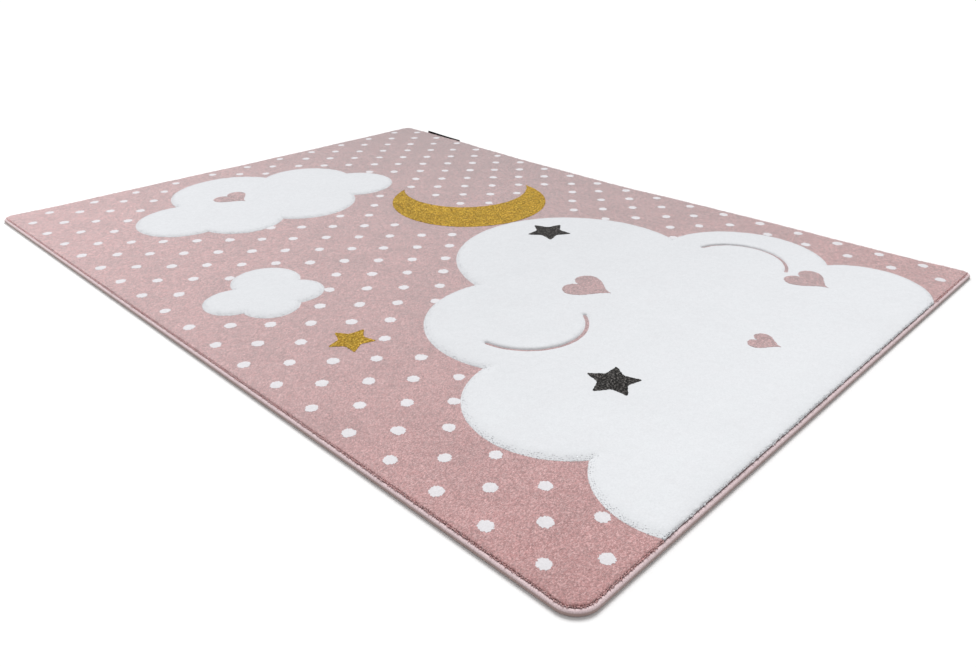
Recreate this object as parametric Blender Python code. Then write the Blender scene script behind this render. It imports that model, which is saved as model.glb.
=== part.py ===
"""A child's rug, 1.2 m x 1.7 m, lying flat: woven cloth with a cut pile of two heights, an overlocked
yarn edge all round, and a folded strip of tape sewn to one long edge.

Plan frame: the rug's middle is near X = Y = 0, its underside is Z = 0, and its long sides run along Y.
The clouds are the higher pile. The curls in the large cloud are narrow channels of the lower pile.
"""

import math

import bmesh
import bpy
from mathutils import Vector
from mathutils.geometry import delaunay_2d_cdt

# The cloth, in metres
HALF_WIDTH = 0.600
HALF_LENGTH = 0.850
CORNER_RADII = (0.016, 0.018, 0.022, 0.034)  # counter-clockwise from the corner at +X, -Y
LOW_PILE = 0.0110
HIGH_PILE = 0.0145
RIM_SHOULDER = 0.0025
RIM_DROP = 0.0014

# The overlocked edge: a yarn roll, measured inwards from the rug's outline
ROLL_WIDTH = 0.0070
ROLL_HEIGHT = 0.0080
ROLL_SIDES = 12
GAP = 0.0003

# The folded tape
TAPE_FROM_Y = 0.597
TAPE_TO_Y = 0.747
TAPE_THICKNESS = 0.0013
TAPE_LOW_TOP = 0.0113
TAPE_HIGH_TOP = 0.0138
TAPE_BOTTOM = 0.0010
TAPE_STATIONS = 8

# How far two sides lie outside their straight lines, as the cloth is a little uneven
LONG_SIDE_BOW = (  # y, outwards
    (-0.85, 0.0130),
    (-0.72, 0.0045),
    (-0.48, 0.0040),
    (-0.24, -0.0015),
    (0.00, -0.0108),
    (0.28, -0.0055),
    (0.44, 0.0025),
    (0.62, 0.0140),
    (0.76, 0.0200),
    (0.85, 0.0200),
)
SHORT_SIDE_BOW = (  # x, outwards
    (-0.60, 0.0140),
    (-0.46, 0.0062),
    (-0.20, 0.0015),
    (0.10, -0.0058),
    (0.60, -0.0062),
)

# Clouds: lobes counter-clockwise round the outline, and cores that fill the middle, each x, y, radius
CLOUDS = {
    "large": {
        "lobes": (
            (0.300, -0.950, 0.150),
            (0.375, -0.730, 0.120),
            (0.350, -0.500, 0.165),
            (0.130, -0.250, 0.240),
            (-0.150, -0.370, 0.175),
            (-0.300, -0.575, 0.145),
            (-0.330, -0.800, 0.120),
            (-0.220, -0.950, 0.140),
            (0.050, -1.000, 0.200),
        ),
        "cores": ((0.050, -0.500, 0.290), (0.180, -0.750, 0.240), (-0.100, -0.750, 0.250)),
    },
    "upper": {
        "lobes": (
            (0.125, 0.475, 0.095),
            (0.050, 0.585, 0.115),
            (-0.140, 0.625, 0.145),
            (-0.315, 0.530, 0.105),
            (-0.220, 0.445, 0.095),
            (-0.050, 0.450, 0.125),
        ),
        "cores": ((-0.100, 0.540, 0.120),),
    },
    "small": {
        "lobes": (
            (-0.370, 0.100, 0.065),
            (-0.460, 0.060, 0.055),
            (-0.420, 0.000, 0.052),
            (-0.355, 0.020, 0.052),
        ),
        "cores": ((-0.400, 0.050, 0.050),),
    },
}
# The high pile's shoulder: inset from the cloud's outline, and the share of the rise reached there
SHOULDER = ((0.000, 0.0), (0.003, 0.62), (0.010, 1.0))
LOBE_STEP = math.radians(15)

# Curls: centre x, y, radius, start and end angle in degrees
CURLS = (
    (-0.150, -0.370, 0.105, 185, 325),
    (0.330, -0.500, 0.095, -75, 75),
)
CURL_FLOOR = 0.0030  # half the channel's width at the low pile
CURL_MOUTH = 0.0062  # and at the high pile
CURL_STEP = math.radians(14)

CORNER_STEPS = 7
MERGE = 0.00002


def eased(rows, at):
    """Smooth value between a table's rows, level at each row."""
    if at <= rows[0][0]:
        return rows[0][1]
    for (a, low), (b, high) in zip(rows, rows[1:]):
        if at <= b:
            t = (at - a) / (b - a)
            return low + (high - low) * (0.5 - 0.5 * math.cos(math.pi * t))
    return rows[-1][1]


def side(start, end, rows, axis):
    """Interior points of a straight side, one at each row of its bow and one between rows."""
    marks = sorted(a for a, _ in rows) if rows else ()
    marks = [m for pair in zip(marks, marks[1:]) for m in (pair[0], sum(pair) / 2)]
    low, high = sorted((start[axis], end[axis]))
    inside = [m for m in marks if low + MERGE < m < high - MERGE]
    return inside if start[axis] < end[axis] else inside[::-1]


def rug_outline(inset):
    """The rug's outline, counter-clockwise, moved inwards by inset. Every inset has the same points."""
    right_low = HALF_WIDTH + eased(LONG_SIDE_BOW, -HALF_LENGTH)
    right_high = HALF_WIDTH + eased(LONG_SIDE_BOW, HALF_LENGTH)
    top_left = HALF_LENGTH + eased(SHORT_SIDE_BOW, -HALF_WIDTH)
    top_right = HALF_LENGTH + eased(SHORT_SIDE_BOW, HALF_WIDTH)
    a, b, c, d = CORNER_RADII
    centres = (
        (right_low - a, -HALF_LENGTH + a, -90),
        (right_high - b, top_right - b, 0),
        (-HALF_WIDTH + c, top_left - c, 90),
        (-HALF_WIDTH + d, -HALF_LENGTH + d, 180),
    )
    corners = []
    for (cx, cy, start), r in zip(centres, CORNER_RADII):
        angles = [math.radians(start + 90 * k / CORNER_STEPS) for k in range(CORNER_STEPS + 1)]
        corners.append([(cx + (r - inset) * math.cos(a), cy + (r - inset) * math.sin(a)) for a in angles])
    points = list(corners[0])
    for y in side(corners[0][-1], corners[1][0], LONG_SIDE_BOW, 1):
        points.append((HALF_WIDTH + eased(LONG_SIDE_BOW, y) - inset, y))
    points += corners[1]
    for x in side(corners[1][-1], corners[2][0], SHORT_SIDE_BOW, 0):
        points.append((x, HALF_LENGTH + eased(SHORT_SIDE_BOW, x) - inset))
    return points + corners[2] + corners[3]


def long_side_x(y):
    """Where the rug's outline crosses a given y on its +X side."""
    outline = rug_outline(0.0)
    for (x0, y0), (x1, y1) in zip(outline, outline[1:]):
        if x0 > 0 and y0 <= y < y1:
            return x0 + (x1 - x0) * (y - y0) / (y1 - y0)
    return HALF_WIDTH


def inside(polygon, x, y):
    """Whether a point lies in a polygon, by counting crossings."""
    found = False
    for (x0, y0), (x1, y1) in zip(polygon, polygon[1:] + polygon[:1]):
        if (y0 > y) != (y1 > y) and x < x0 + (x1 - x0) * (y - y0) / (y1 - y0):
            found = not found
    return found


def crossing(a, b):
    """Where two lobes' circles cross, on the right-hand side of the way from a to b."""
    (ax, ay, ar), (bx, by, br) = a, b
    apart = math.hypot(bx - ax, by - ay)
    along = (ar * ar - br * br + apart * apart) / (2 * apart)
    across = math.sqrt(ar * ar - along * along)
    ux, uy = (bx - ax) / apart, (by - ay) / apart
    return ax + ux * along + uy * across, ay + uy * along - ux * across


def cloud_outline(cloud, inset):
    """A cloud's outline as arcs of its lobes, moved inwards by inset."""
    lobes = [(x, y, r - inset) for x, y, r in cloud["lobes"]]
    points = []
    for before, lobe, after in zip(lobes[-1:] + lobes[:-1], lobes, lobes[1:] + lobes[:1]):
        x, y, r = lobe
        first, last = crossing(before, lobe), crossing(lobe, after)
        start = math.atan2(first[1] - y, first[0] - x)
        sweep = (math.atan2(last[1] - y, last[0] - x) - start) % math.tau
        steps = max(3, round(sweep / LOBE_STEP))
        angles = [start + sweep * k / steps for k in range(steps)]
        points += [(x + r * math.cos(a), y + r * math.sin(a)) for a in angles]
    return points


def cloud_depth(x, y):
    """How far a point lies inside the nearest cloud's outline, below zero outside all of them."""
    discs = [disc for cloud in CLOUDS.values() for disc in cloud["lobes"] + cloud["cores"]]
    return max(r - math.hypot(x - cx, y - cy) for cx, cy, r in discs)


def curl_outline(curl, half):
    """A curl's channel as a closed outline, half wide on each side of its arc."""
    x, y, radius, start, end = curl
    steps = round(math.radians(end - start) / CURL_STEP)
    angles = [math.radians(start + (end - start) * k / steps) for k in range(steps + 1)]
    outer = [(x + (radius + half) * math.cos(a), y + (radius + half) * math.sin(a)) for a in angles]
    inner = [(x + (radius - half) * math.cos(a), y + (radius - half) * math.sin(a)) for a in angles]
    end_tip = curl_tip(curl, angles[-1], half)
    start_tip = curl_tip(curl, angles[0], -half)
    return outer + [end_tip] + inner[::-1] + [start_tip]


def curl_tip(curl, angle, beyond):
    """The point past a curl's end, beyond along its arc."""
    x, y, radius = curl[:3]
    return (
        x + radius * math.cos(angle) - beyond * math.sin(angle),
        y + radius * math.sin(angle) + beyond * math.cos(angle),
    )


def curl_distance(x, y):
    """How far a point lies from the nearest curl's arc."""
    nearest = 1.0
    for cx, cy, radius, start, end in CURLS:
        angle = math.degrees(math.atan2(y - cy, x - cx))
        if (angle - start) % 360 <= end - start:
            away = abs(math.hypot(x - cx, y - cy) - radius)
        else:
            ends = [math.radians(a) for a in (start, end)]
            away = min(math.hypot(x - cx - radius * math.cos(a), y - cy - radius * math.sin(a)) for a in ends)
        nearest = min(nearest, away)
    return nearest


def pile_height(x, y):
    """The pile's top over the floor: low on the ground, high on the clouds but for their curls."""
    depth = cloud_depth(x, y)
    share = 1.0
    for (a, low), (b, high) in zip(SHOULDER, SHOULDER[1:]):
        if depth < b:
            share = low + (high - low) * max(0.0, depth - a) / (b - a)
            break
    channel = (curl_distance(x, y) - CURL_FLOOR) / (CURL_MOUTH - CURL_FLOOR)
    share *= min(1.0, max(0.0, channel))
    return LOW_PILE + (HIGH_PILE - LOW_PILE) * share


def pile_loops():
    """Every closed line that the pile's top is creased along."""
    wall = ROLL_WIDTH + GAP
    loops = [rug_outline(wall), rug_outline(wall + RIM_SHOULDER)]
    for cloud in CLOUDS.values():
        loops += [cloud_outline(cloud, inset) for inset, _ in SHOULDER]
    for curl in CURLS:
        loops += [curl_outline(curl, CURL_MOUTH), curl_outline(curl, CURL_FLOOR)]
    return loops


def flat_faces(loops):
    """Triangles of the plan between all the loops, kept where they lie in the first loop."""
    points, edges = [], []
    for loop in loops:
        first = len(points)
        points += [Vector(p) for p in loop]
        edges += [(first + k, first + (k + 1) % len(loop)) for k in range(len(loop))]
    corners, _, faces, _, _, _ = delaunay_2d_cdt(points, edges, [], 0, MERGE)
    kept = []
    for face in faces:
        x = sum(corners[k].x for k in face) / len(face)
        y = sum(corners[k].y for k in face) / len(face)
        if inside(loops[0], x, y):
            kept.append(face)
    return corners, kept


def add_object(name, mesh_builder, materials):
    """Makes one named object from a bmesh and its materials."""
    bm = bmesh.new()
    mesh_builder(bm)
    bmesh.ops.recalc_face_normals(bm, faces=bm.faces)
    mesh = bpy.data.meshes.new(name)
    bm.to_mesh(mesh)
    bm.free()
    for material in materials:
        mesh.materials.append(material)
    mesh.shade_smooth()
    mesh.set_sharp_from_angle(angle=math.radians(40))
    obj = bpy.data.objects.new(name, mesh)
    bpy.context.collection.objects.link(obj)
    return obj


def build_body(bm):
    """The cloth and its pile: a creased top, walls down its outline and a flat underside."""
    corners, faces = flat_faces(pile_loops())
    used = sorted({k for face in faces for k in face})
    top = {k: bm.verts.new((corners[k].x, corners[k].y, pile_height(corners[k].x, corners[k].y))) for k in used}
    for face in faces:
        made = bm.faces.new([top[k] for k in face])
        middle = made.calc_center_median()
        high = cloud_depth(middle.x, middle.y) > 0 and curl_distance(middle.x, middle.y) > CURL_MOUTH
        made.material_index = 1 if high else 0
    rim = [edge for edge in bm.edges if edge.is_boundary]
    for vert in {v for edge in rim for v in edge.verts}:
        vert.co.z -= RIM_DROP
    skirt = bmesh.ops.extrude_edge_only(bm, edges=rim)["geom"]
    for vert in (v for v in skirt if isinstance(v, bmesh.types.BMVert)):
        vert.co.z = 0.0
    bottom = [edge for edge in bm.edges if edge.is_boundary]
    bmesh.ops.contextual_create(bm, geom=bottom)


def build_roll(bm):
    """The overlocked edge: a round-sided ring that follows the rug's outline."""
    reach = 1 / math.cos(math.pi / ROLL_SIDES)
    rings = []
    for k in range(ROLL_SIDES):
        angle = math.tau * (k + 0.5) / ROLL_SIDES
        inset = ROLL_WIDTH / 2 * (1 + reach * math.cos(angle))
        height = ROLL_HEIGHT / 2 * (1 + reach * math.sin(angle))
        rings.append([bm.verts.new((x, y, height)) for x, y in rug_outline(inset)])
    for ring, following in zip(rings, rings[1:] + rings[:1]):
        for a, b in zip(range(len(ring)), list(range(1, len(ring))) + [0]):
            bm.faces.new((ring[a], ring[b], following[b], following[a]))


def build_tape(bm):
    """The folded tape, upright against the roll, its fold on top and higher at one end."""
    stations = []
    for k in range(TAPE_STATIONS + 1):
        share = k / TAPE_STATIONS
        y = TAPE_FROM_Y + (TAPE_TO_Y - TAPE_FROM_Y) * share
        x = long_side_x(y) + GAP
        top = TAPE_LOW_TOP + (TAPE_HIGH_TOP - TAPE_LOW_TOP) * share
        radius = TAPE_THICKNESS / 2
        fold = [math.pi * j / 4 for j in range(5)]
        section = [(x, TAPE_BOTTOM), (x + TAPE_THICKNESS, TAPE_BOTTOM)]
        section += [(x + radius + radius * math.cos(a), top - radius + radius * math.sin(a)) for a in fold]
        stations.append([bm.verts.new((px, y, pz)) for px, pz in section])
    count = len(stations[0])
    for here, there in zip(stations, stations[1:]):
        for a in range(count):
            b = (a + 1) % count
            bm.faces.new((here[a], here[b], there[b], there[a]))
    bm.faces.new(stations[0])
    bm.faces.new(stations[-1][::-1])


def make_material(name, color, roughness):
    """A plain cloth material."""
    material = bpy.data.materials.new(name)
    material.use_nodes = True
    shader = material.node_tree.nodes["Principled BSDF"]
    shader.inputs["Base Color"].default_value = (*color, 1.0)
    shader.inputs["Roughness"].default_value = roughness
    shader.inputs["Metallic"].default_value = 0.0
    material.diffuse_color = (*color, 1.0)
    return material


def centre_on_origin(objects):
    """Moves all the objects together, so that the middle of their box in plan is at X = Y = 0."""
    points = [v.co for obj in objects for v in obj.data.vertices]
    middle_x = (min(p.x for p in points) + max(p.x for p in points)) / 2
    middle_y = (min(p.y for p in points) + max(p.y for p in points)) / 2
    for obj in objects:
        obj.location = (-middle_x, -middle_y, 0.0)


def main():
    for obj in list(bpy.data.objects):
        bpy.data.objects.remove(obj, do_unlink=True)
    ground = make_material("pile_ground", (0.54, 0.32, 0.32), 0.95)
    white = make_material("pile_white", (0.80, 0.82, 0.83), 0.95)
    yarn = make_material("edge_yarn", (0.65, 0.50, 0.51), 0.80)
    black = make_material("black_tape", (0.012, 0.010, 0.010), 0.70)
    centre_on_origin(
        [
            add_object("rug_body", build_body, (ground, white)),
            add_object("edge_binding", build_roll, (yarn,)),
            add_object("edge_label", build_tape, (black,)),
        ]
    )


main()
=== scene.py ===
"""The looks of a child's rug: cut pile of two heights with clouds, a moon, stars, hearts and polka dots,
tufts that stand at its rim and round its clouds, an edge roll of whipped yarn and a folded strip of tape.

Shapes are worked out in the plan frame of part.py: the rug's straight sides lie at x = -HALF_WIDTH and
y = -HALF_LENGTH. Every piece is then moved by SHIFT, which puts those sides where the frame has them.
"""

import math

import bpy
import numpy as np
from mathutils import Matrix, Vector
from mathutils.geometry import delaunay_2d_cdt


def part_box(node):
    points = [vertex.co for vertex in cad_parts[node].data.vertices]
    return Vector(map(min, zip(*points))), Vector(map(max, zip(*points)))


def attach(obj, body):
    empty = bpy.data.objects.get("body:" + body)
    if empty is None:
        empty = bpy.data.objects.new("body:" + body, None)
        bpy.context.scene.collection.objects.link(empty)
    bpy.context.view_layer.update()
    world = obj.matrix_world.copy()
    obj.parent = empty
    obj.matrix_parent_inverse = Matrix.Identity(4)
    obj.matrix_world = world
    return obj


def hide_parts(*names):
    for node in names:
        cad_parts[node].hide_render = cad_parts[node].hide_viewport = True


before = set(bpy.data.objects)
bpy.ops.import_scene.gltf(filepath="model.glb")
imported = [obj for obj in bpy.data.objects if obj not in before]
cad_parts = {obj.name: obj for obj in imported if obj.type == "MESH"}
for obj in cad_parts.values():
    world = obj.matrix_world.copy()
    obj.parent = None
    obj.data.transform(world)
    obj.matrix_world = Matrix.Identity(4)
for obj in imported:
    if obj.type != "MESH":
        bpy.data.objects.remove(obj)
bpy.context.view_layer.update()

# Sizes of the cloth, its edge roll and its tape, as in part.py
HALF_WIDTH = 0.600
HALF_LENGTH = 0.850
CORNER_RADII = (0.016, 0.018, 0.022, 0.034)  # counter-clockwise from the corner at +X, -Y
LOW_PILE = 0.0110
HIGH_PILE = 0.0145
ROLL_WIDTH = 0.0070
ROLL_HEIGHT = 0.0080
GAP = 0.0003
TAPE_FROM_Y = 0.597
TAPE_TO_Y = 0.747
TAPE_THICKNESS = 0.0013
TAPE_LOW_TOP = 0.0113
TAPE_HIGH_TOP = 0.0138
TAPE_BOTTOM = 0.0010
LONG_SIDE_BOW = (  # y, outwards
    (-0.85, 0.0130),
    (-0.72, 0.0045),
    (-0.48, 0.0040),
    (-0.24, -0.0015),
    (0.00, -0.0108),
    (0.28, -0.0055),
    (0.44, 0.0025),
    (0.62, 0.0140),
    (0.76, 0.0200),
    (0.85, 0.0200),
)
SHORT_SIDE_BOW = (  # x, outwards
    (-0.60, 0.0140),
    (-0.46, 0.0062),
    (-0.20, 0.0015),
    (0.10, -0.0058),
    (0.60, -0.0062),
)
CLOUDS = {  # lobes counter-clockwise round the outline, and cores that fill the middle: x, y, radius
    "large": {
        "lobes": (
            (0.300, -0.950, 0.150),
            (0.375, -0.730, 0.120),
            (0.350, -0.500, 0.165),
            (0.130, -0.250, 0.240),
            (-0.150, -0.370, 0.175),
            (-0.300, -0.575, 0.145),
            (-0.330, -0.800, 0.120),
            (-0.220, -0.950, 0.140),
            (0.050, -1.000, 0.200),
        ),
        "cores": ((0.050, -0.500, 0.290), (0.180, -0.750, 0.240), (-0.100, -0.750, 0.250)),
    },
    "upper": {
        "lobes": (
            (0.125, 0.475, 0.095),
            (0.050, 0.585, 0.115),
            (-0.140, 0.625, 0.145),
            (-0.315, 0.530, 0.105),
            (-0.220, 0.445, 0.095),
            (-0.050, 0.450, 0.125),
        ),
        "cores": ((-0.100, 0.540, 0.120),),
    },
    "small": {
        "lobes": (
            (-0.370, 0.100, 0.065),
            (-0.460, 0.060, 0.055),
            (-0.420, 0.000, 0.052),
            (-0.355, 0.020, 0.052),
        ),
        "cores": ((-0.400, 0.050, 0.050),),
    },
}
CURLS = (  # centre x, y, radius, start and end angle in degrees
    (-0.150, -0.370, 0.105, 185, 325),
    (0.330, -0.500, 0.095, -75, 75),
)
CURL_FLOOR = 0.0030
CURL_MOUTH = 0.0062

# Motifs in one height with the pile round them
MOON = {"centre": (0.235, 0.165), "radius": 0.185, "bite": (0.300, 0.245), "bite_radius": 0.155}
STARS = (  # x, y, outer radius, turn, colour
    (-0.210, -0.600, 0.045, 0.20, "charcoal"),
    (0.200, -0.120, 0.050, -0.15, "charcoal"),
    (-0.400, -0.210, 0.042, 0.10, "gold"),
)
HEARTS = (  # x, y, width, turn
    (0.030, -0.360, 0.095, 0.15),
    (0.345, -0.640, 0.085, -0.20),
    (-0.160, 0.590, 0.085, 0.20),
    (0.060, -0.700, 0.055, 0.10),
)
DOT_RADIUS = 0.0099
DOT_FIRST = (-0.5640, -0.7722)
DOT_COLUMN = 0.05152
DOT_ROW = 0.0868
FOLLOW = 0.0436  # each column's share of the long side's bow
STRETCH = 0.00021  # how far rows move apart

# Height profiles: distance, and the share of the height there
CLOUD_SHOULDER = (  # inwards from a cloud's outline, share of the rise
    (-0.0004, -0.25),
    (0.0000, 0.03),
    (0.0014, 0.15),
    (0.0034, 0.31),
    (0.0065, 0.53),
    (0.0105, 0.79),
    (0.0150, 1.00),
)
RIM_PROFILE = (  # inwards from the roll, drop below the pile's top
    (0.0000, 0.0010),
    (0.0008, 0.0004),
    (0.0018, 0.0001),
    (0.0035, 0.0000),
    (0.0070, 0.0000),
)
HIGH_RIM = (  # inwards from the roll, further drop of the high pile
    (0.0000, 0.0020),
    (0.0020, 0.0014),
    (0.0050, 0.0008),
    (0.0090, 0.0003),
    (0.0140, 0.0000),
)
GRID = 0.0052

# Single tufts at the rim and round the clouds
RIM_ROWS = (  # inwards from the roll, outward lean of the tip, its drop below the pile's top
    (0.0002, 0.0021, 0.0008),
    (0.0017, 0.0010, 0.0002),
)
RIM_PITCH = 0.0019
FRINGE_ROWS = (  # inwards from a cloud's outline, outward lean, rise of the tip over the pile there
    (0.0003, 0.0007, 0.0000),
    (0.0020, 0.0010, 0.0001),
    (0.0044, 0.0011, 0.0001),
    (0.0072, 0.0011, 0.0000),
    (0.0104, 0.0010, -0.0001),
)
FRINGE_PITCH = 0.0019

# The edge roll's section and the turns of its yarn
ROLL_SIDES = 12
FULLNESS = 0.5
TURN_PITCH = 0.0024
TURN_DEPTH = 0.00020
TURN_SLANT = 0.0010

# The pile's grain, and its painted light over the rug: painted shade near and far, its turn from side to side,
# and whitening, a painted sheen farther off
TUFT = 0.0016
BUNDLE = 0.0042
NO_PAINTED_LIGHT = (1.0, 1.0, 0.0, 0.0)
PINK_PAINTED_LIGHT = (0.815, 0.715, 0.24, 0.10)
WHITE_PAINTED_LIGHT = (0.965, 0.88, 0.0, 0.0)

# Camera at the photograph's angle, in the plan frame
CAMERA_PLACE = (-1.0712, -1.1908, 0.6391)
CAMERA_RIGHT = (0.70201, -0.71215, -0.00430)
CAMERA_DOWN = (-0.33538, -0.32527, -0.88415)
CAMERA_FORWARD = (0.62825, 0.62213, -0.46719)
FOCAL_PIXELS = 805.4
IMAGE_WIDTH = 976
SENSOR_WIDTH = 36.0


def frame_shift():
    """How far the frame's rug lies from the plan frame."""
    low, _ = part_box("edge_binding")
    return np.array([low.x + HALF_WIDTH, low.y + HALF_LENGTH, 0.0])


SHIFT = frame_shift()


# Plan shapes

def eased(rows, at):
    """Smooth values between a table's rows, level at each row."""
    at = np.asarray(at, float)
    marks = np.array([row[0] for row in rows])
    values = np.array([row[1] for row in rows])
    k = np.clip(np.searchsorted(marks, at) - 1, 0, len(marks) - 2)
    t = np.clip((at - marks[k]) / (marks[k + 1] - marks[k]), 0.0, 1.0)
    return values[k] + (values[k + 1] - values[k]) * (0.5 - 0.5 * np.cos(np.pi * t))


def straight(rows, at):
    """Values between a profile's rows, along straight lines."""
    return np.interp(at, [row[0] for row in rows], [row[1] for row in rows])


def arc(x, y, radius, start, end, step):
    """Points of an arc, its end left out, about step apart."""
    count = max(2, round(abs(end - start) * radius / step))
    angles = start + (end - start) * np.arange(count) / count
    return np.stack([x + radius * np.cos(angles), y + radius * np.sin(angles)], 1)


def run(a, b, step):
    """Points of a straight run from a to b, its end left out, about step apart."""
    a, b = np.array(a, float), np.array(b, float)
    count = max(1, round(np.linalg.norm(b - a) / step))
    return a + (b - a) * (np.arange(count) / count)[:, None]


def rug_outline(inset, step):
    """The rug's outline, counter-clockwise, moved inwards by inset."""
    a, b, c, d = CORNER_RADII
    right = HALF_WIDTH + float(eased(LONG_SIDE_BOW, -HALF_LENGTH))
    far_right = HALF_WIDTH + float(eased(LONG_SIDE_BOW, HALF_LENGTH))
    top_right = HALF_LENGTH + float(eased(SHORT_SIDE_BOW, HALF_WIDTH))
    top_left = HALF_LENGTH + float(eased(SHORT_SIDE_BOW, -HALF_WIDTH))
    quarter = math.pi / 2
    corners = (
        (right - a, -HALF_LENGTH + a, -quarter),
        (far_right - b, top_right - b, 0.0),
        (-HALF_WIDTH + c, top_left - c, quarter),
        (-HALF_WIDTH + d, -HALF_LENGTH + d, 2 * quarter),
    )
    long_side = run((0, corners[0][1]), (0, corners[1][1]), step)
    long_side[:, 0] = HALF_WIDTH + eased(LONG_SIDE_BOW, long_side[:, 1]) - inset
    short_side = run((corners[1][0], 0), (corners[2][0], 0), step)
    short_side[:, 1] = HALF_LENGTH + eased(SHORT_SIDE_BOW, short_side[:, 0]) - inset
    left = -HALF_WIDTH + inset
    near = -HALF_LENGTH + inset
    sides = (
        long_side,
        short_side,
        run((left, corners[2][1]), (left, corners[3][1]), step),
        run((corners[3][0], near), (corners[0][0], near), step),
    )
    pieces = []
    for (x, y, start), r, along in zip(corners, CORNER_RADII, sides):
        pieces += [arc(x, y, r - inset, start, start + quarter, step), along]
    return np.concatenate(pieces)


def edge_distance(x, y):
    """How far points lie inside the rug's outline."""
    left = x + HALF_WIDTH
    right = HALF_WIDTH + eased(LONG_SIDE_BOW, y) - x
    near = y + HALF_LENGTH
    far = HALF_LENGTH + eased(SHORT_SIDE_BOW, x) - y
    dx, dy = np.minimum(left, right), np.minimum(near, far)
    a, b, c, d = CORNER_RADII
    r = np.where(x > 0, np.where(y > 0, b, a), np.where(y > 0, c, d))
    rounded = r - np.hypot(r - dx, r - dy)
    return np.where((dx < r) & (dy < r), rounded, np.minimum(dx, dy))


def crossing(a, b):
    """Where two circles cross, on the right-hand side of the way from a to b."""
    (ax, ay, ar), (bx, by, br) = a, b
    apart = math.hypot(bx - ax, by - ay)
    along = (ar * ar - br * br + apart * apart) / (2 * apart)
    across = math.sqrt(ar * ar - along * along)
    ux, uy = (bx - ax) / apart, (by - ay) / apart
    return ax + ux * along + uy * across, ay + uy * along - ux * across


def cloud_outline(cloud, inset, step):
    """A cloud's outline as arcs of its lobes, moved inwards by inset."""
    lobes = [(x, y, r - inset) for x, y, r in cloud["lobes"]]
    pieces = []
    for before, lobe, after in zip(lobes[-1:] + lobes[:-1], lobes, lobes[1:] + lobes[:1]):
        x, y, r = lobe
        first, last = crossing(before, lobe), crossing(lobe, after)
        start = math.atan2(first[1] - y, first[0] - x)
        sweep = (math.atan2(last[1] - y, last[0] - x) - start) % math.tau
        pieces.append(arc(x, y, r, start, start + sweep, step))
    return np.concatenate(pieces)


def cloud_depth(x, y):
    """How far points lie inside the nearest cloud's outline, below zero outside all of them."""
    discs = [disc for cloud in CLOUDS.values() for disc in cloud["lobes"] + cloud["cores"]]
    return np.max([r - np.hypot(x - cx, y - cy) for cx, cy, r in discs], axis=0)


def curl_outline(curl, half, step):
    """A curl's channel as a closed outline with round ends."""
    x, y, radius, start, end = curl
    start, end = math.radians(start), math.radians(end)
    tips = [(x + radius * math.cos(a), y + radius * math.sin(a)) for a in (start, end)]
    outer = arc(x, y, radius + half, start, end, step)
    end_cap = arc(*tips[1], half, end, end + math.pi, step / 2)
    inner = arc(x, y, radius - half, end, start, step)
    start_cap = arc(*tips[0], half, start + math.pi, start + math.tau, step / 2)
    return np.concatenate([outer, end_cap, inner, start_cap])


def curl_distance(x, y):
    """How far points lie from the nearest curl's line."""
    nearest = np.full(np.shape(x), 1.0)
    for cx, cy, radius, start, end in CURLS:
        turn = (np.degrees(np.arctan2(y - cy, x - cx)) - start) % 360
        ring = np.abs(np.hypot(x - cx, y - cy) - radius)
        ends = [math.radians(a) for a in (start, end)]
        tips = [np.hypot(x - cx - radius * math.cos(a), y - cy - radius * math.sin(a)) for a in ends]
        away = np.where(turn <= end - start, ring, np.minimum(*tips))
        nearest = np.minimum(nearest, away)
    return nearest


def star_outline(x, y, radius, turn, step):
    """A five-pointed star with blunt points."""
    angles = turn + math.pi / 2 + np.arange(10) * math.pi / 5
    reach = np.where(np.arange(10) % 2 == 0, radius, radius * 0.52)
    corners = np.stack([x + reach * np.cos(angles), y + reach * np.sin(angles)], 1)
    blunt = []
    for before, corner, after in zip(np.roll(corners, 1, 0), corners, np.roll(corners, -1, 0)):
        blunt += [corner + (before - corner) * 0.10, corner + (after - corner) * 0.10]
    pieces = [run(a, b, step) for a, b in zip(blunt, blunt[1:] + blunt[:1])]
    return np.concatenate(pieces)


def heart_outline(x, y, width, turn, step):
    """A heart of the given width."""
    count = round(3.2 * width / step)
    t = math.tau * np.arange(count) / count
    across = 16 * np.sin(t) ** 3
    up = 13 * np.cos(t) - 5 * np.cos(2 * t) - 2 * np.cos(3 * t) - np.cos(4 * t)
    across, up = -across * width / 32, up * width / 32
    c, s = math.cos(turn), math.sin(turn)
    return np.stack([x + across * c - up * s, y + across * s + up * c], 1)


def moon_outline(step):
    """A crescent: a disc with a round bite out of it."""
    (x, y), (bx, by) = MOON["centre"], MOON["bite"]
    disc, bite = (x, y, MOON["radius"]), (bx, by, MOON["bite_radius"])
    first, last = crossing(bite, disc), crossing(disc, bite)
    start = math.atan2(first[1] - y, first[0] - x)
    sweep = (math.atan2(last[1] - y, last[0] - x) - start) % math.tau
    back = math.atan2(last[1] - by, last[0] - bx)
    hollow = (back - math.atan2(first[1] - by, first[0] - bx)) % math.tau
    outer = arc(x, y, MOON["radius"], start, start + sweep, step)
    inner = arc(bx, by, MOON["bite_radius"], back, back - hollow, step)
    return np.concatenate([outer, inner])


# Pile heights

def waves(x, y, length, seed, count=9):
    """Smooth unevenness between about -1 and 1, from crossing waves of about one length."""
    rng = np.random.default_rng(seed)
    total = np.zeros(np.shape(x))
    for _ in range(count):
        angle, phase = rng.uniform(0, math.tau, 2)
        k = math.tau / (length * rng.uniform(0.7, 1.4))
        total += np.cos(k * (x * math.cos(angle) + y * math.sin(angle)) + phase)
    return total / math.sqrt(count)


def unevenness(x, y):
    """The pile's own soft ups and downs."""
    return 0.00022 * waves(x, y, 0.16, 3) + 0.00014 * waves(x, y, 0.022, 4)


def rim_drop(x, y):
    """How far the pile's top falls towards the edge roll."""
    even = straight(RIM_PROFILE, edge_distance(x, y) - ROLL_WIDTH - GAP)
    return even * (1 + 0.7 * waves(x, y, 0.008, 5))


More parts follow.
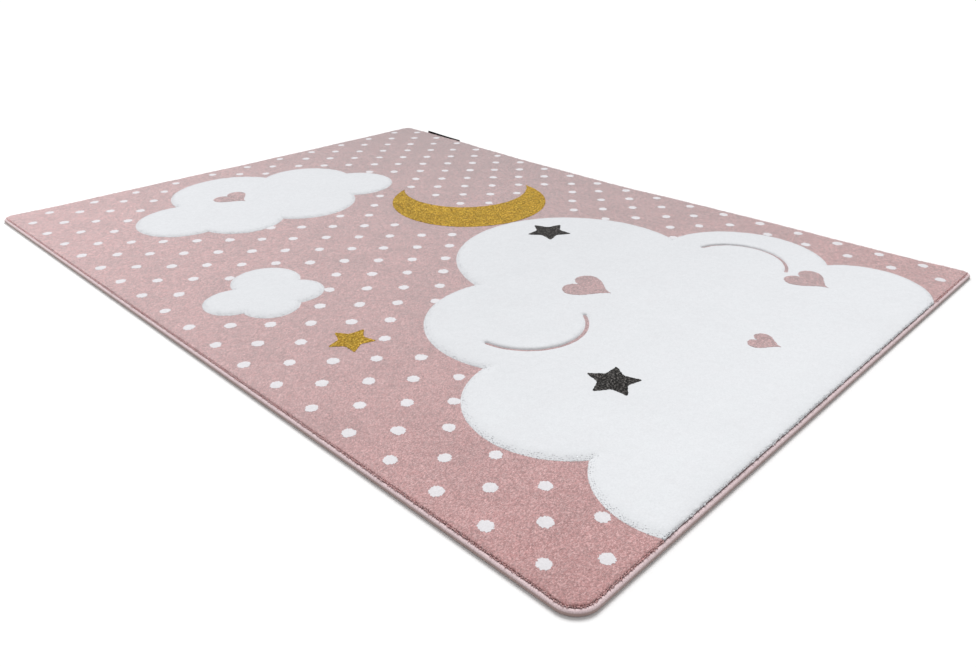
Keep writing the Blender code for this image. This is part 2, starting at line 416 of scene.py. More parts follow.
def ground_top(x, y):
    """The low pile's top."""
    return LOW_PILE + unevenness(x, y) - rim_drop(x, y)


def high_rise(x, y):
    """How far the high pile's top stands over the low pile's, a little less near the edge roll."""
    return HIGH_PILE - LOW_PILE - straight(HIGH_RIM, edge_distance(x, y) - ROLL_WIDTH - GAP)


def cloud_top(x, y):
    """The high pile's top, with its shoulders and the channels of its curls."""
    share = straight(CLOUD_SHOULDER, cloud_depth(x, y))
    channel = (curl_distance(x, y) - CURL_FLOOR) / (CURL_MOUTH - CURL_FLOOR)
    share = np.where(channel < 1, np.clip(channel, 0, 1) ** 0.6, share)
    return ground_top(x, y) + high_rise(x, y) * share


# Meshes

def triangulate(loops, seeds, keep):
    """Triangles between closed loops and loose points, kept where keep says so of their middles."""
    points, edges = [], []
    for loop in loops:
        first = len(points)
        points += [Vector(p) for p in loop]
        edges += [(first + k, first + (k + 1) % len(loop)) for k in range(len(loop))]
    points += [Vector(p) for p in seeds]
    corners, _, faces, _, _, _ = delaunay_2d_cdt(points, edges, [], 0, 0.00001)
    corners = np.array([(p.x, p.y) for p in corners])
    faces = np.array([face for face in faces if len(face) == 3])
    middles = corners[faces].mean(axis=1)
    faces = faces[keep(middles[:, 0], middles[:, 1])]
    used, faces = np.unique(faces, return_inverse=True)
    return corners[used], faces.reshape(-1, 3)


def grid_seeds(box, spacing, seed, keep):
    """Points of a slightly shaken grid inside a box, kept where keep says so."""
    rng = np.random.default_rng(seed)
    xs = np.arange(box[0], box[1], spacing)
    ys = np.arange(box[2], box[3], spacing)
    points = np.stack(np.meshgrid(xs, ys), -1).reshape(-1, 2)
    points += rng.uniform(-0.22, 0.22, points.shape) * spacing
    return points[keep(points[:, 0], points[:, 1])]


def within(outline):
    """A test of whether points lie inside an outline."""
    a, b = outline, np.roll(outline, -1, 0)

    def test(x, y):
        x, y = np.asarray(x)[:, None], np.asarray(y)[:, None]
        spans = (a[:, 1] > y) != (b[:, 1] > y)
        rise = np.where(b[:, 1] == a[:, 1], 1.0, b[:, 1] - a[:, 1])
        left = x < a[:, 0] + (b[:, 0] - a[:, 0]) * (y - a[:, 1]) / rise
        return (spans & left).sum(axis=1) % 2 == 1

    return test


def boundary(faces):
    """The edges that only one triangle has, in that triangle's direction."""
    edges = np.concatenate([faces[:, [0, 1]], faces[:, [1, 2]], faces[:, [2, 0]]])
    keys = np.sort(edges, axis=1)
    _, index, uses = np.unique(keys, axis=0, return_index=True, return_counts=True)
    return edges[index[uses == 1]]


def with_skirt(points, faces, bottom):
    """Adds walls from a surface's boundary down to the heights that bottom gives."""
    edges = boundary(faces)
    rim = np.unique(edges)
    lower = points[rim].copy()
    lower[:, 2] = bottom(lower)
    place = np.full(len(points), -1)
    place[rim] = len(points) + np.arange(len(rim))
    a, b = edges[:, 0], edges[:, 1]
    walls = np.concatenate([np.stack([b, a, place[a]], 1), np.stack([b, place[a], place[b]], 1)])
    return np.concatenate([points, lower]), np.concatenate([faces, walls])


def ordered(edges):
    """Chains a closed loop's edges into one list of its points."""
    follows = {int(a): int(b) for a, b in edges}
    start = next(iter(follows))
    chain, here = [start], follows[start]
    while here != start:
        chain.append(here)
        here = follows[here]
    return chain


def add_piece(name, points, faces, materials, slots=None, crease=None):
    """Makes a smooth mesh object that rides with the rug."""
    mesh = bpy.data.meshes.new(name)
    mesh.from_pydata((points + SHIFT).tolist(), [], [tuple(int(k) for k in face) for face in faces])
    for material in materials:
        mesh.materials.append(material)
    if slots is not None:
        mesh.polygons.foreach_set("material_index", np.asarray(slots, np.int32))
    mesh.shade_smooth()
    if crease is not None:
        mesh.set_sharp_from_angle(angle=math.radians(crease))
    mesh.update()
    obj = bpy.data.objects.new(name, mesh)
    bpy.context.collection.objects.link(obj)
    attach(obj, "root")
    return obj


# Materials

class Shader:
    """A material's node tree, with short ways to add and link nodes."""

    def __init__(self, name, roughness, sheen, tint=(1.0, 0.98, 0.98), specular=0.25):
        self.material = bpy.data.materials.new(name)
        self.material.use_nodes = True
        self.tree = self.material.node_tree
        self.surface = self.tree.nodes["Principled BSDF"]
        self.surface.inputs["Roughness"].default_value = roughness
        self.surface.inputs["Specular IOR Level"].default_value = specular
        self.surface.inputs["Sheen Weight"].default_value = sheen
        self.surface.inputs["Sheen Roughness"].default_value = 0.6
        self.surface.inputs["Sheen Tint"].default_value = (*tint, 1.0)
        self.place = self.node("TexCoord").outputs["Object"]

    def node(self, kind, settings=(), **inputs):
        """Adds a node, sets what settings names, and fills or links its inputs."""
        node = self.tree.nodes.new("ShaderNode" + kind)
        for key, value in dict(settings).items():
            setattr(node, key, value)
        for key, value in inputs.items():
            self.feed(node.inputs[key.replace("_", " ")], value)
        return node

    def feed(self, socket, value):
        """Links an output to a socket, or sets the socket's own value."""
        if isinstance(value, bpy.types.NodeSocket):
            self.tree.links.new(value, socket)
        else:
            socket.default_value = value

    def math(self, operation, a, b=0.0, c=0.0):
        """One Math node's result."""
        node = self.node("Math", {"operation": operation})
        for socket, value in zip(node.inputs, (a, b, c)):
            self.feed(socket, value)
        return node.outputs[0]

    def ramp(self, value, low, high, to_low=0.0, to_high=1.0):
        """A value rescaled from one range to another, and kept in it."""
        node = self.node("MapRange", Value=value, From_Min=low, From_Max=high, To_Min=to_low, To_Max=to_high)
        return node.outputs[0]

    def mix(self, share, a, b, blend="MIX"):
        """Two colours mixed."""
        node = self.node("Mix", {"data_type": "RGBA", "blend_type": blend})
        self.feed(node.inputs[0], share)
        for socket, value in zip((node.inputs[6], node.inputs[7]), (a, b)):
            self.feed(socket, (*value, 1.0) if isinstance(value, tuple) else value)
        return node.outputs[2]

    def noise(self, scale, detail=2.0):
        """A flat noise over the plan, about 0.5."""
        node = self.node("TexNoise", {"noise_dimensions": "2D"}, Vector=self.place, Scale=scale, Detail=detail)
        return node.outputs["Fac"]

    def tufts(self, pitch):
        """Cells of about the pitch: each cell's own random value, and the distance from its middle."""
        node = self.node("TexVoronoi", {"voronoi_dimensions": "2D"}, Vector=self.place, Scale=1.0 / pitch)
        split = self.node("SeparateColor", Color=node.outputs["Color"])
        return split.outputs[0], node.outputs["Distance"]

    def axis(self, name):
        """A point's own X, Y or Z, the last its height over the floor."""
        return self.node("SeparateXYZ", Vector=self.place).outputs[name]

    def shaded(self, color, shade):
        """A colour made darker or lighter by a plain factor."""
        grey = self.node("CombineColor", Red=shade, Green=shade, Blue=shade).outputs[0]
        return self.mix(1.0, color, grey, "MULTIPLY")

    def bump(self, height, distance):
        """A normal shaped by a height."""
        return self.node("Bump", Height=height, Distance=distance).outputs[0]

    def finish(self, color, normal=None):
        """Links colour and normal to the surface, and gives the material."""
        self.feed(self.surface.inputs["Base Color"], color)
        if normal is not None:
            self.feed(self.surface.inputs["Normal"], normal)
        return self.material


def painted_light_over_rug(s, color, painted_light):
    """Painted light over a pile: painted shade that changes along the rug's length and crosswise at its far
    end, and a painted sheen that whitens it towards the far end.
    """
    near, far, turn, painted_sheen = painted_light
    x, y = s.axis("X"), s.axis("Y")
    # painted sheen: farther along the rug the colour is mixed towards a bluish white
    color = s.mix(s.ramp(y, -0.75, -0.20, 0.0, painted_sheen), color, (0.93, 0.92, 0.97))
    across = s.math("MULTIPLY", x, s.math("ADD", y, 0.75))
    # painted shade: darker farther along the rug and towards its far right corner, lighter towards its far
    # left one
    return s.shaded(color, s.math("MULTIPLY_ADD", across, -turn, s.ramp(y, -0.75, -0.20, near, far)))


def pile_material(name, dark, middle, light, deep, top, contrast=1.0, mottle=0.07, sheen=0.9,
                  tint=(1.0, 0.97, 0.98), painted_light=NO_PAINTED_LIGHT, bundling=1.0, flecks=0.0):
    """Cut pile: heathered tufts with broad soft mottling; painted shade between the tufts and, in the colour
    deep, deep down in the pile; and painted light over the rug.
    """
    s = Shader(name, roughness=0.95, sheen=sheen, tint=tint, specular=0.1)
    own, away = s.tufts(TUFT)
    broad = s.noise(11.0, 3.0)
    clumps = s.noise(330.0, 1.0)
    bundles = s.ramp(s.tufts(BUNDLE)[0], 0.0, 1.0, -contrast, contrast)
    fine = s.noise(1400.0, 2.0)
    value = s.math("ADD", s.math("MULTIPLY", own, 0.65), s.math("MULTIPLY", fine, 0.35))
    value = s.math("MULTIPLY_ADD", clumps, flecks, s.math("SUBTRACT", value, 0.5 * flecks))
    color = s.mix(s.ramp(value, 0.12, 0.50), dark, middle)
    color = s.mix(s.ramp(value, 0.50, 0.88), color, light)
    shade = s.ramp(broad, 0.30, 0.70, 1.0 - mottle, 1.0 + mottle)
    spread = 0.20 * contrast
    heather = s.ramp(s.math("ADD", s.axis("X"), s.axis("Y")), -1.4, 0.6, 0.08 * bundling, 0.38 * bundling)
    swing = s.math("MULTIPLY_ADD", bundles, heather, s.ramp(clumps, 0.25, 0.75, -spread, spread))
    shade = s.math("MULTIPLY_ADD", shade, swing, shade)
    # painted shade: darker towards the edges of each tuft's cell
    painted_gap_shade = s.ramp(away, 0.28, 0.75, 1.0, 1.0 - 0.25 * contrast)
    warmth = s.ramp(s.noise(34.0), 0.35, 0.65, 0.0, 4.0 * mottle)
    color = s.mix(warmth, color, (1.0, 0.86, 0.88), "MULTIPLY")
    color = painted_light_over_rug(s, s.shaded(color, s.math("MULTIPLY", shade, painted_gap_shade)), painted_light)
    # painted shade: below the pile's top the colour turns to deep
    painted_depth_shade = s.ramp(s.axis("Z"), top - 0.0056, top - 0.0024)
    color = s.mix(painted_depth_shade, deep, color)
    domes = s.math("SUBTRACT", 1.0, away)
    relief = s.math("ADD", s.math("MULTIPLY", domes, 0.7), s.math("MULTIPLY", fine, 0.5))
    return s.finish(color, s.bump(relief, 0.0007 * contrast))


def yarn_material():
    """Whipped yarn: pale pink, with painted shade, darker and browner, on its lower part."""
    s = Shader("whipped_yarn", roughness=0.72, sheen=0.25, specular=0.3)
    strands = s.noise(900.0, 3.0)
    color = s.mix(s.ramp(strands, 0.3, 0.7), (0.62, 0.46, 0.475), (0.80, 0.65, 0.665))
    # painted shade: the yarn turns darker and browner towards the roll's lower part
    painted_underside_shade = s.ramp(s.axis("Z"), 0.0049, 0.0065)
    color = s.mix(painted_underside_shade, (0.34, 0.235, 0.215), color)
    return s.finish(color, s.bump(strands, 0.00025))


def tape_material():
    """Black woven tape with fine ribs."""
    s = Shader("woven_tape", roughness=0.8, sheen=0.02, specular=0.1)
    along = s.node("TexWave", {"wave_type": "BANDS", "bands_direction": "Z"}, Vector=s.place, Scale=700.0)
    across = s.node("TexWave", {"wave_type": "BANDS", "bands_direction": "Y"}, Vector=s.place, Scale=700.0)
    weave = s.math("ADD", along.outputs["Fac"], across.outputs["Fac"])
    color = s.mix(s.ramp(weave, 0.2, 1.8), (0.003, 0.003, 0.003), (0.012, 0.010, 0.011))
    return s.finish(color, s.bump(weave, 0.0001))


def backing_material():
    """The underside: coarse woven backing with a whitish size on it."""
    s = Shader("woven_backing", roughness=0.9, sheen=0.05, specular=0.2)
    ribs = s.node("TexWave", {"wave_type": "BANDS", "bands_direction": "Y"}, Vector=s.place, Scale=95.0)
    warps = s.node("TexWave", {"wave_type": "BANDS", "bands_direction": "X"}, Vector=s.place, Scale=60.0)
    weave = s.math("MULTIPLY", ribs.outputs["Fac"], warps.outputs["Fac"])
    color = s.mix(s.ramp(weave, 0.1, 0.7), (0.42, 0.36, 0.29), (0.66, 0.61, 0.53))
    return s.finish(color, s.bump(weave, 0.0006))


def plain_material(name, color):
    """The floor's plain matt finish."""
    s = Shader(name, roughness=1.0, sheen=0.0, specular=0.0)
    return s.finish((*color, 1.0))


# Pieces

def rim_loops(step, out=0.0):
    """The rug's outline at each row of the rim's profile, moved outwards by out."""
    return [rug_outline(ROLL_WIDTH + GAP + inset - out, step) for inset, _ in RIM_PROFILE]


def rug_cloth(pink, backing):
    """The cloth with its low pile: a closed slab, its underside the backing."""
    loops = rim_loops(0.005)
    rim = RIM_PROFILE[-1][0] + ROLL_WIDTH + GAP + GRID / 2
    seeds = grid_seeds(
        (-HALF_WIDTH, HALF_WIDTH, -HALF_LENGTH, HALF_LENGTH), GRID, 1, lambda x, y: edge_distance(x, y) > rim
    )
    plan, faces = triangulate(loops, seeds, within_rug)
    points = np.column_stack([plan, ground_top(plan[:, 0], plan[:, 1])])
    underside = 0.0004
    points, walls = with_skirt(points, faces, lambda p: np.full(len(p), underside))
    below = ordered(boundary(walls))[::-1]
    slots = [0] * len(walls) + [1]
    return add_piece("rug_cloth", points, [*walls.tolist(), below], (pink, backing), slots, crease=50)


def within_rug(x, y):
    """Whether points lie on the rug's pile, inside the roll."""
    return edge_distance(x, y) > ROLL_WIDTH + GAP - 0.0002


def cloud_pile(white):
    """The high white pile of all the clouds, with a wall of its own over the roll."""
    loops = rim_loops(0.005, out=0.00015)
    for cloud in CLOUDS.values():
        loops += [cloud_outline(cloud, inset, 0.004) for inset, _ in CLOUD_SHOULDER[:-1]]
    for curl in CURLS:
        loops += [curl_outline(curl, half, 0.004) for half in (CURL_FLOOR, 0.0042, CURL_MOUTH)]
    deep = CLOUD_SHOULDER[-1][0] + GRID / 2

    def open_pile(x, y):
        inside = (cloud_depth(x, y) > deep) & (curl_distance(x, y) > CURL_MOUTH + GRID / 2)
        return inside & (edge_distance(x, y) > ROLL_WIDTH + RIM_PROFILE[-1][0] + GRID / 2)

    def kept(x, y):
        return (cloud_depth(x, y) > CLOUD_SHOULDER[0][0]) & within_rug(x, y)

    seeds = grid_seeds((-HALF_WIDTH, HALF_WIDTH, -HALF_LENGTH, HALF_LENGTH), GRID, 2, open_pile)
    plan, faces = triangulate(loops, seeds, kept)
    points = np.column_stack([plan, cloud_top(plan[:, 0], plan[:, 1])])
    points, faces = with_skirt(points, faces, lambda p: p[:, 2] - 0.0045)
    return add_piece("cloud_pile", points, faces, (white,), crease=50)


def ragged(outline, amount, seed):
    """An outline whose points are shaken, as tufts of two colours stand mixed along it."""
    rng = np.random.default_rng(seed)
    return outline + rng.uniform(-amount, amount, outline.shape)


def motif(name, outlines, material, top, raised, seed):
    """Flat motifs of another colour, level with the pile round them, their edges a little ragged."""
    points, faces = [], []
    for k, outline in enumerate(outlines):
        outline = ragged(outline, 0.0007, seed + k)
        low, high = outline.min(axis=0), outline.max(axis=0)
        test = within(outline)
        near = outline[:, None]
        box = (low[0], high[0], low[1], high[1])
        seeds = grid_seeds(box, 0.004, seed + 50 + k, test)
        clear = np.linalg.norm(near - seeds[None], axis=2).min(axis=0) > 0.0022
        plan, part = triangulate([outline], seeds[clear], test)
        x, y = plan[:, 0], plan[:, 1]
        part_points = np.column_stack([plan, top(x, y) + raised])
        part_points, part = with_skirt(part_points, part, lambda p: p[:, 2] - 0.0012)
        faces.append(part + sum(len(p) for p in points))
        points.append(part_points)
    return add_piece(name, np.concatenate(points), np.concatenate(faces), (material,), crease=60)


def star_outlines(color, step):
    """The outlines of one colour's stars."""
    return [star_outline(x, y, radius, turn, step) for x, y, radius, turn, own in STARS if own == color]


def gold_outlines(step):
    """The outlines of the moon and the gold stars."""
    return [moon_outline(step), *star_outlines("gold", step)]


def dot_centres():
    """Middles of the polka dots: a staggered lattice, a little uneven, on the low pile only."""
    rng = np.random.default_rng(11)
    columns, rows = np.meshgrid(np.arange(-1, 24), np.arange(-1, 20), indexing="ij")
    rows = rows + 0.5 * (columns % 2)
    y = DOT_FIRST[1] + rows * (DOT_ROW + STRETCH * rows)
    x = DOT_FIRST[0] + columns * (DOT_COLUMN + FOLLOW * eased(LONG_SIDE_BOW, y))
    places = np.stack([x, y], -1).reshape(-1, 2)
    places += rng.normal(0, 0.0010, places.shape)
    x, y = places[:, 0], places[:, 1]
    kept = (edge_distance(x, y) > ROLL_WIDTH + 0.013) & (cloud_depth(x, y) < -0.3 * DOT_RADIUS)
    for outline in gold_outlines(0.004):
        near = np.linalg.norm(places[:, None] - outline[None], axis=2).min(axis=1)
        kept &= ~within(outline)(x, y) & (near > DOT_RADIUS + 0.004)
    return places[kept]


def polka_dots(white):
    """Small white dots of low pile, with ragged edges."""
    rng = np.random.default_rng(12)
    count = 48
    angles = math.tau * np.arange(count) / count
    rings = ((0.62, 0.00035), (1.00, 0.00020), (1.02, -0.00120))
    centres = dot_centres()
    lobes = np.cos(angles * rng.integers(2, 4, (len(centres), 1)) + rng.uniform(0, 6, (len(centres), 1)))
    reach = DOT_RADIUS * rng.uniform(0.94, 1.06, (len(centres), 1)) * (1 + 0.02 * lobes)
    reach = reach * (1 + rng.uniform(-0.15, 0.11, reach.shape))
    middle = np.column_stack([centres, np.full(len(centres), 0.0004)])[:, None]
    loops = [middle]
    for share, lift in rings:
        inner = reach if share > 0.9 else reach.mean(axis=1, keepdims=True)
        across, up = inner * share * np.cos(angles), inner * share * np.sin(angles)
        loops.append(np.stack([centres[:, :1] + across, centres[:, 1:] + up, np.full_like(up, lift)], -1))
    points = np.concatenate(loops, axis=1)
    j = np.arange(count)
    ahead = (j + 1) % count
    pattern = [np.stack([np.zeros_like(j), 1 + j, 1 + ahead], 1)]
    for ring in range(len(rings) - 1):
        a, b = 1 + ring * count, 1 + (ring + 1) * count
        pattern.append(np.stack([a + j, b + j, b + ahead], 1))
        pattern.append(np.stack([a + j, b + ahead, a + ahead], 1))
    faces = np.concatenate(pattern)[None] + (np.arange(len(centres)) * points.shape[1])[:, None, None]
    points = points.reshape(-1, 3)
    points[:, 2] += ground_top(points[:, 0], points[:, 1])
    return add_piece("polka_dots", points, faces.reshape(-1, 3), (white,), crease=50)


def tuft_mesh(base, tip, radius, seed, sides=4):
    """Points and triangles of many tufts: a narrow foot, a wider shoulder and a rounded tip."""
    rng = np.random.default_rng(seed)
    count = len(base)
    turn = rng.uniform(0, math.tau, count)[:, None] + math.tau * np.arange(sides) / sides
    around = np.stack([np.cos(turn), np.sin(turn), np.zeros_like(turn)], 2) * radius[:, None, None]
    shoulder = base + (tip - base) * rng.uniform(0.66, 0.84, count)[:, None]
    foot = base[:, None] + around * 0.75
    crown = shoulder[:, None] + around
    points = np.concatenate([foot, crown, tip[:, None]], axis=1)
    j = np.arange(sides)
    nxt = (j + 1) % sides
    walls = np.concatenate([
        np.stack([j, nxt, nxt + sides], 1),
        np.stack([j, nxt + sides, j + sides], 1),
        np.stack([j + sides, nxt + sides, np.full(sides, 2 * sides)], 1),
    ])
    faces = walls[None] + (np.arange(count) * (2 * sides + 1))[:, None, None]
    return points.reshape(-1, 3), faces.reshape(-1, 3)


def outward(outline):
    """Unit vectors out of a counter-clockwise outline at each of its points."""
    along = np.roll(outline, -1, 0) - np.roll(outline, 1, 0)
    along /= np.linalg.norm(along, axis=1)[:, None]
    return np.stack([along[:, 1], -along[:, 0]], 1)


def rim_tufts(pink, white):
    """Rows of single tufts that stand along the roll, with dark gaps between them."""
    rng = np.random.default_rng(21)
    bases, tips, radii, slots = [], [], [], []
    for inset, lean, drop in RIM_ROWS:
        line = rug_outline(ROLL_WIDTH + GAP + inset, RIM_PITCH)
        out = outward(line)
        line = line + rng.normal(0, 0.0004, line.shape)
        high = cloud_depth(line[:, 0], line[:, 1]) > 0
        kept = ~high | (rng.uniform(size=len(line)) < 0.5)
        line, out, high = line[kept], out[kept], high[kept]
        x, y = line[:, 0], line[:, 1]
        top = LOW_PILE + unevenness(x, y) + np.where(high, high_rise(x, y), 0.0)
        top += rng.normal(0, 0.00045, len(line)) - drop
        reach = (lean + rng.normal(0, 0.0007, len(line))) * np.where(high, 0.6, 1.0)
        bases.append(np.column_stack([line, np.where(high, top - 0.0035, 0.0060)]))
        tips.append(np.column_stack([line + out * reach[:, None], top]))
        radii.append(rng.uniform(0.00085, 0.00120, len(line)) * np.where(high, 1.25, 1.0))
        slots.append(high)
    points, faces = tuft_mesh(*(np.concatenate(x) for x in (bases, tips, radii)), seed=22)
    slots = np.repeat(np.concatenate(slots), len(faces) // sum(len(b) for b in bases))
    return add_piece("rim_tufts", points, faces, (pink, white), slots)


def cloud_fringe(white):
    """Tufts that lean out over the ground all round the clouds."""
    rng = np.random.default_rng(31)
    bases, tips = [], []
    for cloud in CLOUDS.values():
        for inset, lean, rise in FRINGE_ROWS:
            line = cloud_outline(cloud, inset, FRINGE_PITCH)
            out = outward(line)
            line = line + rng.normal(0, 0.0004, line.shape)
            x, y = line[:, 0], line[:, 1]
            kept = edge_distance(x, y) > ROLL_WIDTH + 0.003
            kept &= cloud_depth(x, y) < inset + 0.002
            line, out = line[kept], out[kept]
            x, y = line[:, 0], line[:, 1]
            reach = lean * rng.uniform(0.4, 1.5, (len(line), 1))
            top = cloud_top(x, y) + rise + rng.normal(0, 0.00022, len(line))
            bases.append(np.column_stack([line - out * 0.0008, cloud_top(x, y) - 0.0016]))
            tips.append(np.column_stack([line + out * reach, top]))
    bases, tips = np.concatenate(bases), np.concatenate(tips)
    points, faces = tuft_mesh(bases, tips, rng.uniform(0.0009, 0.0013, len(bases)), seed=32)
    return add_piece("cloud_fringe", points, faces, (white,))


def edge_roll(yarn):
    """The overlocked edge: a roll with a ridge for each turn of its yarn."""
    rng = np.random.default_rng(41)
    line = rug_outline(ROLL_WIDTH / 2, 0.0012)
    steps = np.linalg.norm(np.roll(line, -1, 0) - line, axis=1)
    length = steps.sum()
    turns = round(length / TURN_PITCH)
    marks = np.arange(2 * turns) * length / (2 * turns)
    marks = marks + rng.normal(0, 0.00010, len(marks))
    sums = np.concatenate([[0.0], np.cumsum(steps)])
    closed = np.vstack([line, line[:1]])
    centre = np.stack([np.interp(marks % length, sums, closed[:, k]) for k in (0, 1)], 1)
    out = outward(centre)
    along = np.stack([-out[:, 1], out[:, 0]], 1)
    angles = math.tau * (np.arange(ROLL_SIDES) + 0.5) / ROLL_SIDES
    ridge = np.where(np.arange(len(marks)) % 2 == 0, 0.0, -TURN_DEPTH) + rng.normal(0, 0.00005, len(marks))
    rings = []
    for angle in angles:
        power = 1.0 if math.sin(angle) > 0 and math.cos(angle) > 0 else FULLNESS
        share = math.copysign(abs(math.cos(angle)) ** power, math.cos(angle))
        across = (ROLL_WIDTH / 2 + ridge) * share
        up = ROLL_HEIGHT / 2 + (ROLL_HEIGHT / 2 - 0.0001 + ridge) * math.sin(angle)
        slant = TURN_SLANT * math.sin(angle)
        place = centre + out * across[:, None] + along * slant
        rings.append(np.column_stack([place, up]))
    points = np.stack(rings, 1).reshape(-1, 3)
    count = len(marks)
    k, j = np.meshgrid(np.arange(count), np.arange(ROLL_SIDES), indexing="ij")
    ahead, side = (k + 1) % count, (j + 1) % ROLL_SIDES
    corners = [k * ROLL_SIDES + j, ahead * ROLL_SIDES + j, ahead * ROLL_SIDES + side, k * ROLL_SIDES + side]
    faces = np.stack(corners, -1).reshape(-1, 4)
    return add_piece("edge_roll", points, faces, (yarn,))


def edge_tape(black):
    """The folded tape: two thin layers, upright against the roll, joined by the fold on top."""
    stations = 56
    layer = 0.00045
    y = np.linspace(TAPE_FROM_Y, TAPE_TO_Y, stations + 1)
    share = np.linspace(0, 1, stations + 1)
    wave = 0.00025 * np.sin(share * 9.0) * share
    x = HALF_WIDTH + eased(LONG_SIDE_BOW, y) + GAP + 0.0001 + wave
    top = TAPE_LOW_TOP + (TAPE_HIGH_TOP - TAPE_LOW_TOP) * share
    outer, inner = TAPE_THICKNESS / 2, TAPE_THICKNESS / 2 - layer
    turn = np.linspace(0, math.pi, 7)
    points = []
    for px, py, pz in zip(x + outer, y, top - outer):
        section = [(outer, TAPE_BOTTOM - pz)]
        section += [(outer * math.cos(a), outer * math.sin(a)) for a in turn]
        section += [(-outer, TAPE_BOTTOM - pz), (-inner, TAPE_BOTTOM - pz)]
        section += [(inner * math.cos(a), inner * math.sin(a)) for a in turn[::-1]]
        section += [(inner, TAPE_BOTTOM - pz)]
        points += [(px + u, py, pz + v) for u, v in section]
    count = len(points) // (stations + 1)
    faces = []
    for k in range(stations):
        for j in range(count):
            a, b = k * count + j, k * count + (j + 1) % count
            faces.append((a, b, b + count, a + count))
    faces += [tuple(range(count))[::-1], tuple(range(stations * count, (stations + 1) * count))]
    return add_piece("edge_tape", np.array(points), faces, (black,), crease=50)


def curl_strips(pink):
    """The low pink pile on the floor of each curl's channel."""
    outlines = [curl_outline(curl, CURL_FLOOR + 0.0008, 0.003) for curl in CURLS]
    return motif("curl_strips", outlines, pink, ground_top, 0.0004, seed=70)


# Scene

def add_floor():
    """A plain pale floor, far wider than the view."""
    bpy.ops.mesh.primitive_plane_add(size=60.0, location=(0, 0, 0))
    floor = bpy.context.object
    floor.name = "floor"
    floor.data.materials.append(plain_material("floor_paint", (0.90, 0.90, 0.90)))


def add_key_light(towards, spread, power):
    """A soft, far key light that stands in the direction of towards."""
    light = bpy.data.lights.new("key", "SUN")
    light.angle = math.radians(spread)
    light.energy = power
    obj = bpy.data.objects.new("key", light)
    bpy.context.collection.objects.link(obj)
    obj.rotation_euler = Vector(towards).to_track_quat("Z", "Y").to_euler()


def add_fill_light(place, aim, size, power):
    """A soft square fill light."""
    light = bpy.data.lights.new("fill", "AREA")
    light.size = size
    light.energy = power
    obj = bpy.data.objects.new("fill", light)
    bpy.context.collection.objects.link(obj)
    obj.location = place
    obj.rotation_euler = (Vector(place) - Vector(aim)).to_track_quat("Z", "Y").to_euler()


def add_world(strength):
    """An even white surround."""
    world = bpy.data.worlds.new("studio")
    world.use_nodes = True
    background = world.node_tree.nodes["Background"]
    background.inputs["Color"].default_value = (1.0, 1.0, 1.0, 1.0)
    background.inputs["Strength"].default_value = strength
    bpy.context.scene.world = world


def add_camera():
    """The camera at the photograph's angle."""
    camera = bpy.data.cameras.new("camera")
    camera.sensor_width = SENSOR_WIDTH
    camera.lens = FOCAL_PIXELS * SENSOR_WIDTH / IMAGE_WIDTH
    camera.clip_start = 0.02
    obj = bpy.data.objects.new("camera", camera)
    bpy.context.collection.objects.link(obj)
    turn = Matrix((CAMERA_RIGHT, -Vector(CAMERA_DOWN), -Vector(CAMERA_FORWARD))).transposed()
    obj.matrix_world = Matrix.Translation(Vector(CAMERA_PLACE) + Vector(SHIFT)) @ turn.to_4x4()
    bpy.context.scene.camera = obj


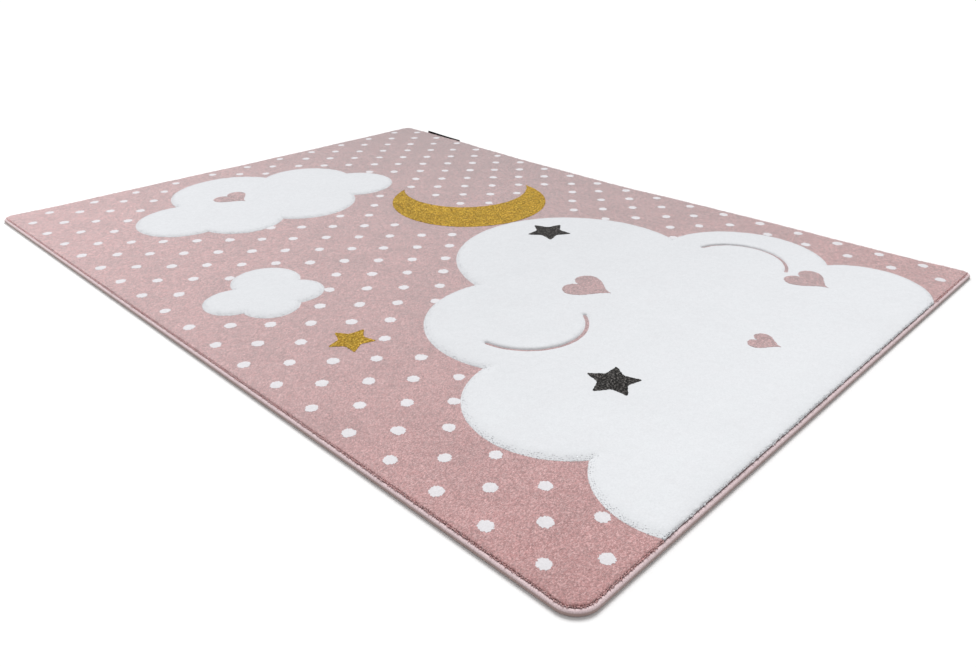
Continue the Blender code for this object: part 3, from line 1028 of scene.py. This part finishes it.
def add_pieces():
    """Every piece of the rug; the model's body, binding and label are hidden."""
    # Each pile's fifth colour is its painted shade deep down in the pile.
    pink = pile_material(
        "pink_pile", (0.42, 0.170, 0.160), (0.61, 0.280, 0.272), (0.84, 0.500, 0.490),
        (0.50, 0.230, 0.225), LOW_PILE, painted_light=PINK_PAINTED_LIGHT,
    )
    white = pile_material(
        "white_pile", (0.725, 0.74, 0.76), (0.74, 0.757, 0.777), (0.755, 0.773, 0.793),
        (0.75, 0.76, 0.775), HIGH_PILE, contrast=0.12, mottle=0.01, tint=(0.95, 0.96, 1.0), painted_light=WHITE_PAINTED_LIGHT,
    )
    # painted light: the rim tufts get a lighter copy of the pink pile, so that their shaded sides read lighter
    rim_pink_painted_light = pile_material(
        "rim_pile_painted_light", (0.68, 0.330, 0.318), (0.88, 0.490, 0.475), (0.98, 0.660, 0.650),
        (0.62, 0.310, 0.300), LOW_PILE, contrast=0.6, painted_light=PINK_PAINTED_LIGHT,
    )
    dot_white = pile_material(
        "dot_pile", (0.67, 0.655, 0.675), (0.70, 0.685, 0.705), (0.73, 0.715, 0.735),
        (0.60, 0.52, 0.53), LOW_PILE, contrast=0.2, mottle=0.01, tint=(0.98, 0.96, 1.0),
    )
    gold = pile_material(
        "gold_pile", (0.25, 0.134, 0.003), (0.44, 0.254, 0.014), (0.70, 0.460, 0.070),
        (0.20, 0.11, 0.01), LOW_PILE, contrast=1.2, sheen=0.2, tint=(1.0, 0.82, 0.40),
        bundling=0.85, flecks=1.2,
    )
    charcoal = pile_material(
        "charcoal_pile", (0.005, 0.005, 0.004), (0.015, 0.014, 0.013), (0.135, 0.129, 0.123),
        (0.02, 0.02, 0.02), HIGH_PILE, contrast=1.5, sheen=0.06, flecks=1.4,
    )
    blush = pile_material(
        "blush_pile", (0.33, 0.16, 0.16), (0.48, 0.26, 0.26), (0.60, 0.38, 0.375),
        (0.30, 0.15, 0.15), HIGH_PILE, contrast=1.2,
    )
    cloth = rug_cloth(pink, backing_material())
    stars = star_outlines("charcoal", 0.002)
    hearts = [heart_outline(x, y, w, t, 0.002) for x, y, w, t in HEARTS]
    on_cloth = [
        cloud_pile(white),
        cloud_fringe(white),
        rim_tufts(rim_pink_painted_light, white),
        polka_dots(dot_white),
        motif("gold_motifs", gold_outlines(0.002), gold, ground_top, 0.0006, seed=51),
        motif("charcoal_stars", stars, charcoal, cloud_top, 0.0004, seed=55),
        motif("blush_hearts", hearts, blush, cloud_top, 0.0004, seed=60),
        curl_strips(blush),
    ]
    roll = edge_roll(yarn_material())
    tape = edge_tape(tape_material())
    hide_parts("rug_body")
    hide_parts("edge_binding")
    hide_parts("edge_label")


add_camera()
add_world(0.50)
add_floor()
add_key_light(towards=(0.58, 0.52, 0.94), spread=30, power=2.6)
add_fill_light(place=(-1.0, 1.5, 1.3), aim=(-0.5, 0.6, 0.0), size=0.8, power=5.0)
add_pieces()
bpy.context.scene.view_settings.view_transform = "Standard"
